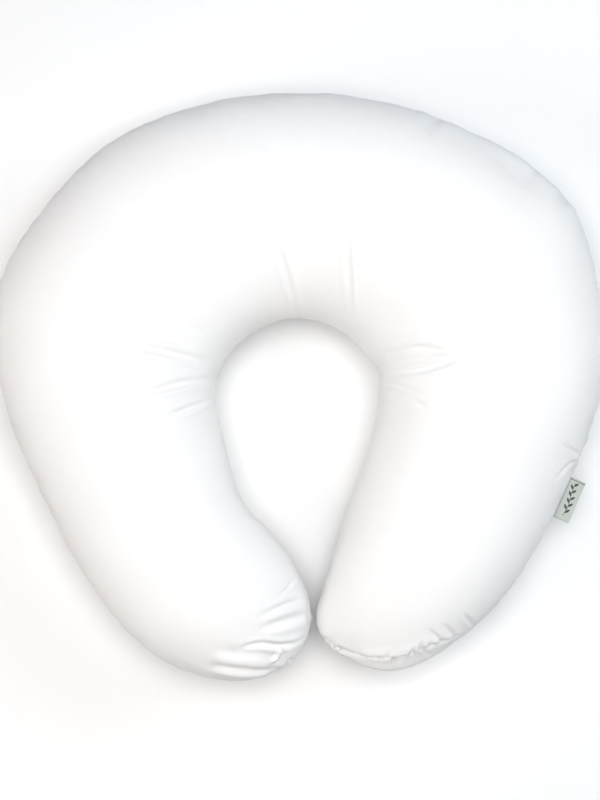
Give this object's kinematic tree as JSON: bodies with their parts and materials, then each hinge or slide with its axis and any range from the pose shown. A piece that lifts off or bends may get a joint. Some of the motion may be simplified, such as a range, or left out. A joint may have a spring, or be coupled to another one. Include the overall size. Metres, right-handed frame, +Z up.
{
  "type": "nursing pillow",
  "caption": "C-shaped fibre-filled pillow in a zipped cotton cover, with a level seam all round, a teardrop waist opening, a narrow gap between its arms and a small folded side label.",
  "frame": {"origin": "on the floor, below the centre of the pillow's outline", "axes": "+Z up with the pillow lying flat, +Y from the arms' tips towards the middle of the curve, +X towards the arm with the side label"},
  "size_m": [0.5761, 0.552, 0.1663],
  "materials": {
    "cover_cotton": "matte",
    "sewing_thread": "satin",
    "care_satin": "satin",
    "label_ribbon": "satin",
    "zip_tape": "matte",
    "zip_teeth": "satin",
    "zip_metal": "gloss",
    "casing_cloth": "matte",
    "fibre": "matte"
  },
  "bodies": {
    "pillow": {"cover_upper_panel": "cover_cotton", "cover_lower_panel": "cover_cotton", "cover_seam_thread": "sewing_thread", "care_label": "care_satin", "zip_tape_upper": "zip_tape", "zip_tape_lower": "zip_tape", "zip_teeth_upper": "zip_teeth", "zip_teeth_lower": "zip_teeth", "zip_top_stops": "zip_metal", "zip_bottom_stop": "zip_metal", "zip_topstitch_upper": "sewing_thread", "zip_topstitch_lower": "sewing_thread", "zip_bar_tacks": "sewing_thread", "casing_upper_panel": "casing_cloth", "casing_lower_panel": "casing_cloth", "casing_seam_thread": "sewing_thread", "casing_closing_stitches": "sewing_thread", "fibre_fill": "fibre"},
    "slider": {"zip_slider": "zip_metal"},
    "pull": {"zip_pull": "zip_metal"},
    "label": {"side_label": "label_ribbon"}
  },
  "joints": [
    {"name": "zip_slide", "type": "hinge", "parent": "pillow", "child": "slider", "pos_m": [0, -0.0925, 0.078], "axis": [0, 0, 1], "range_deg": [0, 55]},
    {"name": "pull_flip", "type": "hinge", "parent": "slider", "child": "pull", "pos_m": [0.21673, 0.20911, 0.078], "axis": [0, 0, -1], "range_deg": [0, 165]},
    {"name": "label_flex", "type": "hinge", "parent": "pillow", "child": "label", "pos_m": [0.24661, -0.10568, 0.078], "axis": [-0.4206, -0.9072, 0], "range_deg": [-60, 70], "stiffness_Nm_per_rad": 0.0005}
  ]
}
